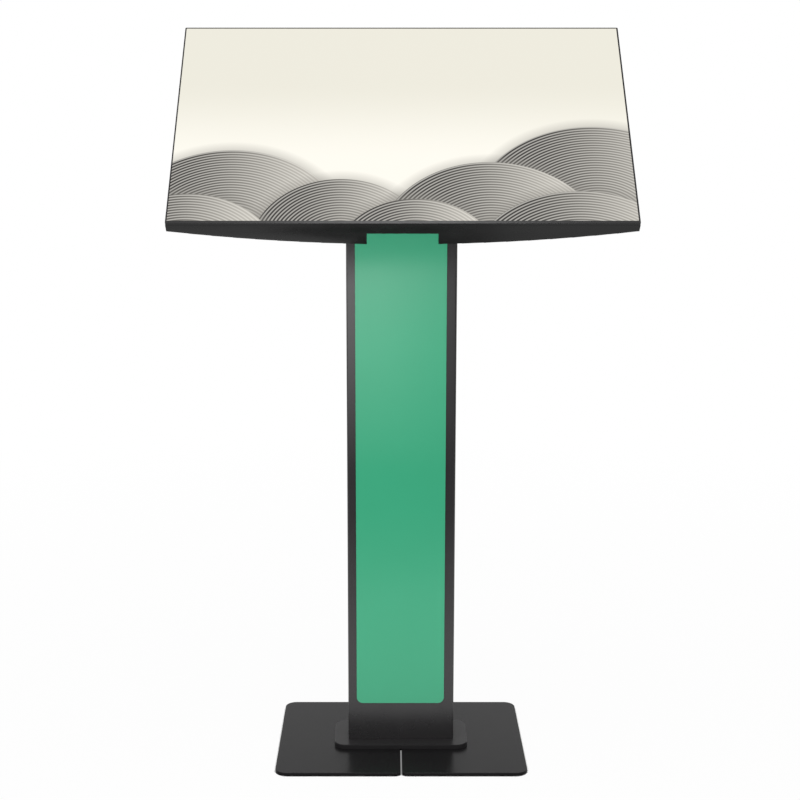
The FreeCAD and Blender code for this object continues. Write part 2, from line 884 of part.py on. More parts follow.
def main_board():
    x, v = main_board_x, middle_v
    slab = board(x, v, main_board_width, main_board_height)
    half = heatsink_size / 2
    foot = board_back + heatsink_foot
    sink = layer(x - half, x + half, v - half, v + half, board_back, foot)
    fins = []
    for index in range(heatsink_fins):
        left = x - half + index * (heatsink_size - board_thickness) / (heatsink_fins - 1)
        fins.append(layer(left, left + board_thickness, v - half, v + half, foot,
                          board_back + heatsink_height))
    return on_display(slab.fuse([sink] + fins).removeSplitter())


def power_board():
    x, v = power_board_x, middle_v
    slab = board(x, v, power_board_width, power_board_height)
    half = transformer_size / 2
    coil = layer(x - half, x + half, v - half, v + half, board_back,
                 board_back + transformer_height)
    cans = [spike(capacitor_radius, x + side * (transformer_size + capacitor_radius), v, board_back,
                  board_back + capacitor_length) for side in (-1, 1)]
    return on_display(slab.fuse([coil] + cans).removeSplitter())


def board_standoffs():
    posts = []
    for x, v in board_spots():
        post = spike(board_standoff_radius, x, v, chassis_back, board_front)
        posts.append(on_display(post.cut(spike(board_screw_radius, x, v, chassis_back, board_front))))
    return Part.Compound(posts)


def board_screws():
    screws = []
    for x, v in board_spots():
        head = spike(board_screw_head_radius, x, v, board_back, board_back + board_screw_head_height)
        shank = spike(board_screw_radius, x, v, chassis_back, board_back)
        screws.append(on_display(head.fuse(shank).removeSplitter()))
    return Part.Compound(screws)


def driver_board():
    half, low = driver_board_width / 2, driver_board_y - driver_board_height / 2
    slab = layer(-half, half, low, low + driver_board_height, chassis_back,
                 chassis_back + board_thickness)
    top = chassis_back + board_thickness
    chips = [layer(x - driver_chip_width / 2, x + driver_chip_width / 2,
                   driver_board_y - driver_board_height / 4,
                   driver_board_y + driver_board_height / 4, top, top + driver_chip_height)
             for x in (-driver_board_width / 4, 0, driver_board_width / 4)]
    return on_display(slab.fuse(chips).removeSplitter())


def speakers():
    boxes = []
    half_width, half_height = speaker_width / 2, speaker_height / 2
    for side in (-1, 1):
        x = side * speaker_x
        enclosure = layer(x - half_width, x + half_width, grille_y - half_height,
                          grille_y + half_height, chassis_back, chassis_back + speaker_depth)
        boxes.append(on_display(enclosure))
    return Part.Compound(boxes)


def socket_block(x, width, depth, length, front_v):
    """A block through the recess's upper wall, its mouth facing down towards the bottom edge."""
    middle = (recess_front + shell_centre_depth - shell_wall) / 2
    return layer(x - width / 2, x + width / 2, front_v, front_v + length, middle - depth / 2,
                 middle + depth / 2)


def socket_cuts():
    cuts = []
    for x, width, depth in ((inlet_x, inlet_width, inlet_depth),
                            (port_block_x, port_block_width, port_block_depth)):
        cuts.append(socket_block(x, width + 2 * socket_fit, depth + 2 * socket_fit, shell_wall,
                                 recess_height))
    return cuts


def power_inlet():
    front = recess_height - inlet_flange_thickness
    body = socket_block(inlet_x, inlet_width, inlet_depth, inlet_length, front)
    rim = socket_block(inlet_x, inlet_width + 2 * inlet_flange, inlet_depth + 2 * inlet_flange,
                       inlet_flange_thickness, front)
    cavity = socket_block(inlet_x, inlet_width - 2 * inlet_wall, inlet_depth - 2 * inlet_wall,
                          inlet_length - inlet_wall, front)
    pins = []
    for index in (-1, 0, 1):
        pins.append(socket_block(inlet_x + index * inlet_pin_pitch, inlet_pin_thickness,
                                 inlet_pin_width, inlet_length / 2, front + inlet_length / 2))
    return on_display(body.fuse(rim).cut(cavity).fuse(pins).removeSplitter())


def port_block():
    front = recess_height
    body = socket_block(port_block_x, port_block_width, port_block_depth, port_block_length, front)
    for index, (width, depth) in enumerate(port_sizes):
        x = port_block_x + (index - 1) * port_pitch
        body = body.cut(socket_block(x, width, depth, port_recess, front))
    return on_display(body)


# Power button

def button_seat():
    """Inner face of the shell behind the button's flange."""
    return shell_depth_at(button_x + button_flange_radius, button_y, shell_wall) - button_gap


def power_button():
    flange_back = button_seat()
    flange_front = flange_back - button_flange_thickness
    cap = spike(button_radius, button_x, button_y, flange_front,
                shell_depth_at(button_x, button_y, 0) + button_proud)
    flange = spike(button_flange_radius, button_x, button_y, flange_front, flange_back)
    stem = spike(button_radius / 2, button_x, button_y, button_switch_top() + switch_rest_gap
                 + button_travel, flange_front)
    return on_display(cap.fuse([flange, stem]).removeSplitter())


def button_switch_top():
    return chassis_back + board_thickness + switch_size / 2


def button_board():
    half = button_flange_radius + button_board_margin
    slab = layer(button_x - half, button_x + half, button_y - half, button_y + half, chassis_back,
                 chassis_back + board_thickness)
    reach = switch_size / 2
    switch = layer(button_x - reach, button_x + reach, button_y - reach, button_y + reach,
                   chassis_back + board_thickness, button_switch_top())
    return on_display(slab.fuse(switch).removeSplitter())


pieces = {
    "base_plate_left": base_plate(-1),
    "base_plate_right": base_plate(1),
    "floor_pads": floor_pads(),
    "seam_pad": seam_pad(),
    "base_screws": base_screws(),
    "foot_flange": foot_flange(),
    "column_body": column_body(),
    "column_cap": column_cap(),
    "cap_grommet": cap_grommet(),
    "rear_door": rear_door(),
    "door_hinge_pins": door_hinge_pins(),
    "foot_grommet": foot_grommet(),
    "lock_housing": lock_housing(),
    "lock_nut": lock_nut(),
    "lock_plug": lock_plug(),
    "lock_cam": lock_cam(),
    "cam_screw": cam_screw(),
    "graphic_panel": graphic_panel(),
    "magnet_sheet": magnet_sheet(),
    "head_bracket": head_bracket(),
    "head_bolts": head_bolts(),
    "tilt_pin": tilt_pin(),
    "tilt_nut": tilt_nut(),
    "friction_washers": friction_washers(),
    "tilt_bracket": tilt_bracket(),
    "vesa_screws": vesa_screws(),
    "vesa_standoffs": vesa_standoffs(),
    "bezel_frame": bezel_frame(),
    "lcd_panel": lcd_panel(),
    "mid_frame": mid_frame(),
    "diffuser": diffuser(),
    "light_guide": light_guide(),
    "led_bar": led_bar(),
    "rear_chassis": rear_chassis(),
    "rear_shell": rear_shell(),
    "shell_screws": shell_screws(),
    "main_board": main_board(),
    "power_board": power_board(),
    "board_standoffs": board_standoffs(),
    "board_screws": board_screws(),
    "driver_board": driver_board(),
    "speakers": speakers(),
    "power_inlet": power_inlet(),
    "port_block": port_block(),
    "power_button": power_button(),
    "button_board": button_board(),
}

os.makedirs("parts", exist_ok=True)
for name, shape in pieces.items():
    shape.exportStep("parts/" + name + ".step")
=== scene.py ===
import math

import bmesh
import bpy
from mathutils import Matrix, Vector


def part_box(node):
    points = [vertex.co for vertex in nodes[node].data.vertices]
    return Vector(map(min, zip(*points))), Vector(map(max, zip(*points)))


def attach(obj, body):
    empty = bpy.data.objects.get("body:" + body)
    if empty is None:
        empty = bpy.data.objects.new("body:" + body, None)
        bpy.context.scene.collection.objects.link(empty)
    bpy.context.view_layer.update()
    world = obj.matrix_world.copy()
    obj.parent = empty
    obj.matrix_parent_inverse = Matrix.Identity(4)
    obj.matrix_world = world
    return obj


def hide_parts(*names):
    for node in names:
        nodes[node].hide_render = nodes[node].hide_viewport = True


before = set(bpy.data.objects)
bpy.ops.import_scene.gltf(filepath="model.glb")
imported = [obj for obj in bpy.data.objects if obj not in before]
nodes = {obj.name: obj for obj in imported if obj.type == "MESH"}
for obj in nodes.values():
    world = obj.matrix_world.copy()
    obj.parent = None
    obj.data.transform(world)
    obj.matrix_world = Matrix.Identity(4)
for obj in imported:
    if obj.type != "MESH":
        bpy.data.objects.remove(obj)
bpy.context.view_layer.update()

# Camera. It stands 2.5 m in front of the stand at chest height and looks down a little. The small
# sideways shift is the photograph's own off-centre framing.

photo_width = 800
focal_pixels = 1519.3
optical_axis_column = 388.64
camera_place = (-0.0215, -2.5362, 1.1235)
camera_pitch_down = 11.33

camera_data = bpy.data.cameras.new("camera")
camera_data.sensor_width = 36.0
camera_data.lens = camera_data.sensor_width * focal_pixels / photo_width
camera_data.shift_x = 0.5 - optical_axis_column / photo_width
camera = bpy.data.objects.new("camera", camera_data)
camera.location = camera_place
camera.rotation_euler = (math.radians(90 - camera_pitch_down), 0, 0)
bpy.context.scene.collection.objects.link(camera)
bpy.context.scene.camera = camera
bpy.context.scene.view_settings.view_transform = "Standard"

# Studio. The stand is on a white sweep that keeps a faint shadow, darkest where the base meets it
# and a little lighter in the gap between the half plates. Behind it everything is white, and the
# room in front of it, which only its gloss can see, is greyer.


def add(tree, kind, inputs=None, **settings):
    """Adds a node with its settings, and sets or links the inputs that are named."""
    made = tree.nodes.new(kind)
    for name, value in settings.items():
        setattr(made, name, value)
    for socket, value in (inputs or {}).items():
        if isinstance(value, bpy.types.NodeSocket):
            tree.links.new(value, made.inputs[socket])
        else:
            made.inputs[socket].default_value = value
    return made


ambient_strength = 0.67
room_above, room_front = 0.38, 0.22
horizon_low, horizon_high = 0.1, 0.42
front_begins, front_full = 0.0, -0.5
floor_albedo = 0.8
floor_radius = 9.0
floor_sides = 96
white_near, white_far = 0.96, 1.0
fade_near, fade_far = 0.3, 2.5
glow_near, glow_far, near_glow = 0.35, 1.75, 1.05
contact_reach, contact_rays = 0.06, 8
contact_dark, contact_light = 0.5, 0.62
seam_reach, seam_level, seam_edge = 0.0012, 0.25, 0.0001

world = bpy.data.worlds.new("studio")
bpy.context.scene.world = world
world.use_nodes = True
sky = world.node_tree
sky.nodes.clear()
path = add(sky, "ShaderNodeLightPath")
way = add(sky, "ShaderNodeSeparateXYZ", {0: add(sky, "ShaderNodeTexCoord").outputs["Generated"]})
behind = add(sky, "ShaderNodeMapRange", {"Value": way.outputs["Z"], "From Min": horizon_low,
                                         "From Max": horizon_high, "To Min": 1.0,
                                         "To Max": room_above})
frontward = add(sky, "ShaderNodeMapRange", {"Value": way.outputs["Y"],
                                            "From Min": front_begins,
                                            "From Max": front_full})
mirrored = add(sky, "ShaderNodeMix", {0: frontward.outputs[0], 2: behind.outputs[0],
                                      3: room_front})
shiny = add(sky, "ShaderNodeMath", {0: path.outputs["Is Glossy Ray"],
                                    1: path.outputs["Is Transmission Ray"]}, operation="MAXIMUM")
unseen = add(sky, "ShaderNodeMix", {0: shiny.outputs[0], 2: ambient_strength,
                                    3: mirrored.outputs[0]})
strength = add(sky, "ShaderNodeMix", {0: path.outputs["Is Camera Ray"], 2: unseen.outputs[0],
                                      3: 1.0})
glow = add(sky, "ShaderNodeBackground", {"Color": (1, 1, 1, 1), "Strength": strength.outputs[0]})
add(sky, "ShaderNodeOutputWorld", {"Surface": glow.outputs[0]})

floor_mesh = bpy.data.meshes.new("floor")
turn = math.tau / floor_sides
ring = [(floor_radius * math.cos(i * turn), floor_radius * math.sin(i * turn), 0)
        for i in range(floor_sides)]
floor_mesh.from_pydata(ring, [], [range(floor_sides)])
floor = bpy.data.objects.new("floor", floor_mesh)
bpy.context.scene.collection.objects.link(floor)
sweep = bpy.data.materials.new("white_sweep")
sweep.use_nodes = True
tree = sweep.node_tree
tree.nodes.clear()
path = add(tree, "ShaderNodeLightPath")
spot = add(tree, "ShaderNodeTexCoord").outputs["Object"]
away = add(tree, "ShaderNodeVectorMath", {0: spot}, operation="LENGTH").outputs["Value"]
axes = add(tree, "ShaderNodeSeparateXYZ", {0: spot})
# In gloss, the floor shows a painted pool of light next to the stand that fades to the greyer room
# in front. For the camera and for gloss, the contact shade from ambient occlusion is painted shade
# in the floor's glow. The gap between the half plates gets a painted, lighter level.
contact = add(tree, "ShaderNodeAmbientOcclusion", {"Distance": contact_reach},
              samples=contact_rays)
dim = add(tree, "ShaderNodeMapRange", {"Value": axes.outputs["Y"], "From Min": -glow_near,
                                       "From Max": -glow_far, "To Min": near_glow,
                                       "To Max": room_front}, interpolation_type="SMOOTHSTEP")
seen = add(tree, "ShaderNodeMix", {0: path.outputs["Is Camera Ray"], 2: dim.outputs[0], 3: 1.0})
open_floor = add(tree, "ShaderNodeMapRange", {"Value": contact.outputs["AO"],
                                              "From Min": contact_dark,
                                              "From Max": contact_light})
off_seam = add(tree, "ShaderNodeMath", {0: axes.outputs["X"]}, operation="ABSOLUTE")
in_seam = add(tree, "ShaderNodeMapRange", {"Value": off_seam.outputs[0], "From Min": seam_reach,
                                           "From Max": seam_reach + seam_edge,
                                           "To Min": seam_level, "To Max": 0.0})
bright = add(tree, "ShaderNodeMath", {0: open_floor.outputs[0], 1: in_seam.outputs[0]},
             operation="MAXIMUM")
level = add(tree, "ShaderNodeMath", {0: seen.outputs[0], 1: bright.outputs[0]},
            operation="MULTIPLY")
white = add(tree, "ShaderNodeEmission", {"Color": (1, 1, 1, 1), "Strength": level.outputs[0]})
matt = add(tree, "ShaderNodeBsdfDiffuse", {"Color": (floor_albedo,) * 3 + (1,)})
shiny = add(tree, "ShaderNodeMath", {0: path.outputs["Is Glossy Ray"],
                                     1: path.outputs["Is Transmission Ray"]},
            operation="MAXIMUM")
looked = add(tree, "ShaderNodeMath", {0: path.outputs["Is Camera Ray"], 1: shiny.outputs[0]},
             operation="MAXIMUM")
whiter = add(tree, "ShaderNodeMapRange", {"Value": away, "From Min": fade_near,
                                          "From Max": fade_far, "To Min": white_near,
                                          "To Max": white_far})
share = add(tree, "ShaderNodeMath", {0: looked.outputs[0], 1: whiter.outputs[0]},
            operation="MULTIPLY")
mixed = add(tree, "ShaderNodeMixShader", {0: share.outputs[0], 1: matt.outputs[0],
                                          2: white.outputs[0]})
add(tree, "ShaderNodeOutputMaterial", {"Surface": mixed.outputs[0]})
floor_mesh.materials.append(sweep)

# Lamps. A softbox low in front on the left, graded dimmer downwards and to the right, shows on the
# column as a soft sheen. The frame's lower strip catches two softboxes overhead. The fill lights
# don't show in gloss, and light the column's front under the display as well as elsewhere.


def softbox(name, place, width, height, radiance, pitch, in_gloss=True):
    """A soft lamp that faces down at pitch 0 and the stand at 90, with an even radiance."""
    data = bpy.data.lights.new(name, "AREA")
    data.shape = "RECTANGLE"
    data.size, data.size_y = width, height
    data.energy = math.pi * width * height * radiance
    lamp = bpy.data.objects.new(name, data)
    lamp.location = place
    lamp.rotation_euler = (math.radians(pitch), 0, 0)
    lamp.visible_camera = False
    lamp.visible_glossy = in_gloss
    bpy.context.scene.collection.objects.link(lamp)
    return data


facing_stand, facing_down = 90, 0
graded_left, graded_right, graded_low, graded_high = -0.94, 0.27, 0.31, 0.79
full_left, full_low, full_high, graded_least = -0.04, 0.7, 0.74, 0.06
graded_front, graded_radiance = -0.86, 2.3
overhead_front, overhead_depth = -0.57, 0.5
narrow_height, narrow_width, narrow_radiance = 2.6, 0.46, 6.6
wide_height, wide_width, wide_radiance = 2.7, 2.4, 0.7
fill_width, fill_height = 0.8, 0.1
upper_fill_place, upper_fill_radiance = (0.0, -0.5, 0.84), 6.0
lower_fill_place, lower_fill_radiance = (0.0, -0.6, 0.08), 6.6

graded_middle = ((graded_left + graded_right) / 2, graded_front, (graded_low + graded_high) / 2)
graded = softbox("graded_softbox", graded_middle, graded_right - graded_left,
                 graded_high - graded_low, graded_radiance, facing_stand)
graded.use_nodes = True
tree = graded.node_tree
lit = add(tree, "ShaderNodeSeparateXYZ",
          {0: add(tree, "ShaderNodeNewGeometry").outputs["Position"]})
upper_edge = add(tree, "ShaderNodeMapRange", {"Value": lit.outputs["Z"], "From Min": graded_high,
                                              "From Max": full_high},
                 interpolation_type="SMOOTHSTEP")
downward = add(tree, "ShaderNodeMapRange", {"Value": lit.outputs["Z"], "From Min": graded_low,
                                            "From Max": full_low, "To Min": graded_least})
rightward = add(tree, "ShaderNodeMapRange", {"Value": lit.outputs["X"], "From Min": graded_right,
                                             "From Max": full_left})
upright = add(tree, "ShaderNodeMath", {0: upper_edge.outputs[0], 1: downward.outputs[0]},
              operation="MULTIPLY")
both = add(tree, "ShaderNodeMath", {0: upright.outputs[0], 1: rightward.outputs[0]},
           operation="MULTIPLY")
tree.links.new(both.outputs[0], tree.nodes["Emission"].inputs["Strength"])
softbox("overhead_softbox", (0.0, overhead_front, narrow_height), narrow_width, overhead_depth,
        narrow_radiance, facing_down)
softbox("wide_overhead_softbox", (0.0, overhead_front, wide_height), wide_width, overhead_depth,
        wide_radiance, facing_down)
softbox("upper_fill", upper_fill_place, fill_width, fill_height, upper_fill_radiance, facing_stand,
        in_gloss=False)
softbox("lower_fill", lower_fill_place, fill_width, fill_height, lower_fill_radiance, facing_stand,
        in_gloss=False)

# Pads under the base: eight round feet and a strip below the seam, moulded in black rubber. Rubber
# is matt, with a faint grain.


def linear(code):
    """Linear RGBA of an sRGB hex colour."""
    parts = [int(code[i:i + 2], 16) / 255 for i in (1, 3, 5)]
    return tuple(p / 12.92 if p <= 0.04045 else ((p + 0.055) / 1.055) ** 2.4 for p in parts) + (1,)


noise_low, noise_high = 0.3, 0.7
drift_detail, fine_detail = 3.0, 2.0


def finish(name, colours, drift_mm, roughness, gloss_mm, grain_mm, grain_height_mm, **constants):
    """A material whose colour drifts between two hex colours in blobs of drift_mm and whose
    roughness drifts between two values in blobs of gloss_mm. The grain is a bump of that width
    and height. Constants go straight onto the shader's sockets."""
    material = bpy.data.materials.new(name)
    material.use_nodes = True
    tree = material.node_tree
    shader = tree.nodes["Principled BSDF"]
    for socket, value in constants.items():
        shader.inputs[socket.replace("_", " ")].default_value = value
    spot = add(tree, "ShaderNodeTexCoord").outputs["Object"]
    drift = add(tree, "ShaderNodeTexNoise", {"Vector": spot, "Scale": 1000 / drift_mm,
                                             "Detail": drift_detail})
    paint = add(tree, "ShaderNodeMix", {0: drift.outputs["Fac"], 6: linear(colours[0]),
                                        7: linear(colours[1])}, data_type="RGBA")
    gloss = add(tree, "ShaderNodeTexNoise", {"Vector": spot, "Scale": 1000 / gloss_mm,
                                             "Detail": fine_detail})
    spread = add(tree, "ShaderNodeMapRange", {"Value": gloss.outputs["Fac"],
                                              "From Min": noise_low, "From Max": noise_high,
                                              "To Min": roughness[0], "To Max": roughness[1]})
    grain = add(tree, "ShaderNodeTexNoise", {"Vector": spot, "Scale": 1000 / grain_mm,
                                             "Detail": fine_detail})
    bump = add(tree, "ShaderNodeBump", {"Distance": grain_height_mm / 1000,
                                        "Height": grain.outputs["Fac"]})
    tree.links.new(paint.outputs[2], shader.inputs["Base Color"])
    tree.links.new(spread.outputs[0], shader.inputs["Roughness"])
    tree.links.new(bump.outputs[0], shader.inputs["Normal"])
    return material


def dress(material, *names):
    """Gives CAD nodes their finish."""
    for name in names:
        nodes[name].data.materials.clear()
        nodes[name].data.materials.append(material)


rubber = finish("moulded_black_rubber", ("#101010", "#191918"), 8, (0.7, 0.85), 5, 1.2, 0.03,
                IOR=1.5)
dress(rubber, "floor_pads", "seam_pad")

# Base plates: two half plates laser cut from 5 mm steel and powder coated in semi-gloss black. The
# coat has a fine orange peel. The side faces get the coat painted darker and less reflective, as
# painted shade along the plates' edges.


def softened(name, node, width_mm, material, body):
    """A merged copy of a CAD node with its sharp edges rounded over, which replaces the node."""
    source = nodes[node].data
    shape = bmesh.new()
    corners = [shape.verts.new(v.co) for v in source.vertices]
    for face in source.polygons:
        shape.faces.new([corners[i] for i in face.vertices])
    bmesh.ops.remove_doubles(shape, verts=shape.verts, dist=merge_distance)
    bmesh.ops.dissolve_limit(shape, angle_limit=math.radians(flat_angle), verts=shape.verts,
                             edges=shape.edges)
    for face in shape.faces:
        face.smooth = True
    mesh = bpy.data.meshes.new(name)
    shape.to_mesh(mesh)
    shape.free()
    mesh.materials.append(material)
    piece = bpy.data.objects.new(name, mesh)
    bpy.context.scene.collection.objects.link(piece)
    rounding = piece.modifiers.new("rounding", "BEVEL")
    rounding.width = width_mm / 1000
    rounding.segments = rounding_segments
    rounding.limit_method = "ANGLE"
    rounding.angle_limit = math.radians(rounded_angle)
    rounding.harden_normals = True
    graph = bpy.context.evaluated_depsgraph_get()
    rounded = bpy.data.meshes.new_from_object(piece.evaluated_get(graph))
    piece.modifiers.clear()
    piece.data = rounded
    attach(piece, body)
    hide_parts(node)
    return piece


merge_distance = 0.00001
flat_angle = 0.5
rounded_angle = 35
rounding_segments = 2
edge_steepness = 0.5
plate_rounding = 0.25

plate_coat = finish("semi_gloss_powder_coat", ("#191819", "#1d1c1d"), 60, (0.22, 0.27), 35, 3.0,
                    0.012, IOR=1.44)
# Painted shade: this darker, less reflective coat goes on the plates' side faces.
plate_edge_painted_darker = finish("coat_painted_darker_on_plate_edge", ("#121112", "#171617"), 20, (0.3, 0.4), 10, 1.5, 0.02,
                  IOR=1.12)
for side in ("left", "right"):
    plate = softened("base_half_" + side, "base_plate_" + side, plate_rounding, plate_coat,
                     "stand")
    plate.data.materials.append(plate_edge_painted_darker)
    for face in plate.data.polygons:
        face.material_index = int(abs(face.normal.z) < edge_steepness)

# Base screws: eight countersunk machine screws with hexagon sockets, turned from steel and zinc
# plated. They go up through the half plates into the flange, so only their heads show below.

screw_sides = 24
hexagon = math.tau / 6
base_screw_head, base_screw_shank, countersink = 7.6, 4.0, 3.6
base_socket, base_socket_depth, base_screw_tip = 2.5, 2.2, 0.6
heads_up, upside_down = 0, 180
sharp_angle = 35


def add_skin(shape, rings):
    """Closes a skin over rings of points, each with as many as the next, and adds it to a shape."""
    rows = [[shape.verts.new(point) for point in ring] for ring in rings]
    shape.faces.new(rows[0])
    for first, second in zip(rows, rows[1:]):
        for i in range(len(first)):
            shape.faces.new((first[i - 1], first[i], second[i], second[i - 1]))
    shape.faces.new(rows[-1])


def finished_mesh(name, shape):
    """The mesh of a shape, its faces turned outwards and smoothed up to its sharp edges."""
    bmesh.ops.recalc_face_normals(shape, faces=shape.faces)
    for face in shape.faces:
        face.smooth = True
    for edge in shape.edges:
        edge.smooth = edge.calc_face_angle() < math.radians(sharp_angle)
    mesh = bpy.data.meshes.new(name)
    shape.to_mesh(mesh)
    shape.free()
    return mesh


def turned(name, profile):
    """A closed shape turned about z from rings of radius and height in mm, top to tip. The rings
    marked as hexagons have that radius to the middle of a flat."""
    rings = []
    for radius, height, hexagonal in profile:
        ring = []
        for i in range(screw_sides):
            angle = i * math.tau / screw_sides
            reach = radius / math.cos(angle % hexagon - hexagon / 2) if hexagonal else radius
            ring.append((reach * math.cos(angle) / 1000, reach * math.sin(angle) / 1000,
                         height / 1000))
        rings.append(ring)
    shape = bmesh.new()
    add_skin(shape, rings)
    return bpy.data.objects.new(name, finished_mesh(name, shape))


def seats(node, axis):
    """Where the solids of a CAD node have their head ends along the axis, as a list of points for
    each length in mm that they come in."""
    axis = Vector(axis).normalized()
    shape = bmesh.new()
    shape.from_mesh(nodes[node].data)
    bmesh.ops.remove_doubles(shape, verts=shape.verts, dist=merge_distance)
    found, seen = {}, set()
    for first in shape.verts:
        if first in seen:
            continue
        seen.add(first)
        solid = [first]
        for corner in solid:
            for edge in corner.link_edges:
                other = edge.other_vert(corner)
                if other not in seen:
                    seen.add(other)
                    solid.append(other)
        along = [corner.co.dot(axis) for corner in solid]
        middle = sum((corner.co - axis * corner.co.dot(axis) for corner in solid), Vector())
        place = middle / len(solid) + axis * max(along)
        found.setdefault(round((max(along) - min(along)) * 1000, 1), []).append(place)
    shape.free()
    return found


fastener_tree = bpy.data.node_groups.new("fasteners_on_points", "GeometryNodeTree")
fastener_inputs = {}
for title, kind in (("Places", "NodeSocketGeometry"), ("Fastener", "NodeSocketObject"),
                    ("Turn", "NodeSocketVector"), ("Finish", "NodeSocketMaterial")):
    fastener_inputs[title] = fastener_tree.interface.new_socket(
        name=title, in_out="INPUT", socket_type=kind).identifier
fastener_tree.interface.new_socket(name="Set", in_out="OUTPUT", socket_type="NodeSocketGeometry")
given = add(fastener_tree, "NodeGroupInput")
one = add(fastener_tree, "GeometryNodeObjectInfo", {"Object": given.outputs["Fastener"]})
placed = add(fastener_tree, "GeometryNodeInstanceOnPoints",
             {"Points": given.outputs["Places"], "Instance": one.outputs["Geometry"],
              "Rotation": given.outputs["Turn"]})
real = add(fastener_tree, "GeometryNodeRealizeInstances", {0: placed.outputs[0]})
coated = add(fastener_tree, "GeometryNodeSetMaterial", {"Geometry": real.outputs[0],
                                                        "Material": given.outputs["Finish"]})
add(fastener_tree, "NodeGroupOutput", {0: coated.outputs[0]})


def fasten(name, node, profile, tilt_degrees, material, body):
    """One piece with a turned fastener at each solid of a CAD node, which it replaces. Its heads
    point up the z axis, turned about x by tilt_degrees. profile gives its rings for a length."""
    angle = math.radians(tilt_degrees)
    joined = bmesh.new()
    for length, places in seats(node, (0, -math.sin(angle), math.cos(angle))).items():
        pattern = turned(name + "_pattern", profile(length))
        dots = bpy.data.meshes.new(name + "_places")
        dots.from_pydata(places, [], [])
        carrier = bpy.data.objects.new(name + "_places", dots)
        bpy.context.scene.collection.objects.link(carrier)
        spread = carrier.modifiers.new("fasteners", "NODES")
        spread.node_group = fastener_tree
        spread[fastener_inputs["Fastener"]] = pattern
        spread[fastener_inputs["Turn"]] = (angle, 0.0, 0.0)
        spread[fastener_inputs["Finish"]] = material
        graph = bpy.context.evaluated_depsgraph_get()
        made = bpy.data.meshes.new_from_object(carrier.evaluated_get(graph))
        carrier.modifiers.clear()
        joined.from_mesh(made)
        bpy.data.objects.remove(carrier)
        bpy.data.objects.remove(pattern)
    mesh = bpy.data.meshes.new(name)
    joined.to_mesh(mesh)
    joined.free()
    mesh.materials.append(material)
    piece = bpy.data.objects.new(name, mesh)
    bpy.context.scene.collection.objects.link(piece)
    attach(piece, body)
    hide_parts(node)


def countersunk(length):
    return ((base_socket, -base_socket_depth, True), (base_socket, 0, True),
            (base_screw_head, 0, False), (base_screw_shank, -countersink, False),
            (base_screw_shank, base_screw_tip - length, False),
            (base_screw_shank - base_screw_tip, -length, False))


zinc = finish("bright_zinc_plate", ("#a9aba8", "#c6c5bd"), 4, (0.24, 0.42), 3, 0.8, 0.004,
              Metallic=1.0)
fasten("base_screw_set", "base_screws", countersunk, upside_down, zinc, "stand")

# Foot flange: a 7.4 mm plate welded to the column and screwed down over the seam of the two halves.
# It has the column's satin coat, sprayed thicker. Its flat top is painted a little greyer, as
# painted light, and its edges darker and less reflective, as painted shade.

flange_rounding = 0.15
flange_flatness = 0.97
# Painted light and shade: the flange's flat top is coloured greyer than the column, and its edges
# take a darker, less reflective coat.
flange_top_coat_painted_lighter = finish("satin_coat_painted_lighter_on_flange_top", ("#2c2b2c", "#313031"), 50, (0.3, 0.36), 30,
                     3.0, 0.012, IOR=1.46)
flange = softened("flange", "foot_flange", flange_rounding, flange_top_coat_painted_lighter, "stand")
flange.data.materials.append(finish("satin_coat_painted_darker_on_flange_edge", ("#1c1b1c", "#212021"), 30,
                                    (0.3, 0.4), 10, 1.5, 0.02, IOR=1.3))
for face in flange.data.polygons:
    face.material_index = int(abs(face.normal.z) < flange_flatness)

# Column: a channel folded from 2 mm steel sheet with a cap plate welded in its top. It has a satin
# black powder coat, smooth enough to mirror the lamps and the pale floor softly. The coat lies
# rougher at the foot, because the spray doesn't reach well into the corner over the flange.

sheet_rounding = 0.3
dry_low, dry_high, dry_roughness = 0.06, 0.11, 0.12
column_coat = finish("satin_powder_coat", ("#1e1d1e", "#222122"), 60, (0.14, 0.17), 40, 3.0, 0.008,
                     IOR=1.58)
tree = column_coat.node_tree
shader = tree.nodes["Principled BSDF"]
spot = add(tree, "ShaderNodeTexCoord").outputs["Object"]
height = add(tree, "ShaderNodeSeparateXYZ", {0: spot})
dry = add(tree, "ShaderNodeMapRange", {"Value": height.outputs["Z"], "From Min": dry_high,
                                       "From Max": dry_low, "To Max": dry_roughness})
rougher = add(tree, "ShaderNodeMath", {0: shader.inputs["Roughness"].links[0].from_socket,
                                       1: dry.outputs[0]})
tree.links.new(rougher.outputs[0], shader.inputs["Roughness"])
softened("column", "column_body", sheet_rounding, column_coat, "stand")
softened("cap", "column_cap", sheet_rounding, column_coat, "stand")

# Door: the column's back, folded from the same sheet and hung on two plated pins in a rolled edge.
# Two rubber grommets, pushed into the cap and into the foot of the door, let a cable through.

softened("door", "rear_door", sheet_rounding, column_coat, "door")
softened("hinge_pins", "door_hinge_pins", sheet_rounding, zinc, "stand")
dress(rubber, "foot_grommet", "cap_grommet")

# Cam lock: a chrome plated sleeve through the door, held by a plated nut. Its plug turns a plated
# steel cam, which is screwed to the plug's end.

lock_rounding = 0.25
chrome = finish("polished_chrome", ("#c4c5c7", "#d0d1d3"), 12, (0.06, 0.16), 5, 2.0, 0.001,
                Metallic=1.0)
softened("lock_sleeve", "lock_housing", lock_rounding, chrome, "door")
softened("lock_core", "lock_plug", lock_rounding, chrome, "lock")
softened("sleeve_nut", "lock_nut", lock_rounding, zinc, "door")
softened("cam", "lock_cam", lock_rounding, zinc, "lock")
softened("cam_bolt", "cam_screw", lock_rounding, zinc, "lock")

# Graphic panel: a 0.6 mm sheet printed plain green under a clear satin film. A magnet sheet, dark
# brown and matt, holds it on the column.

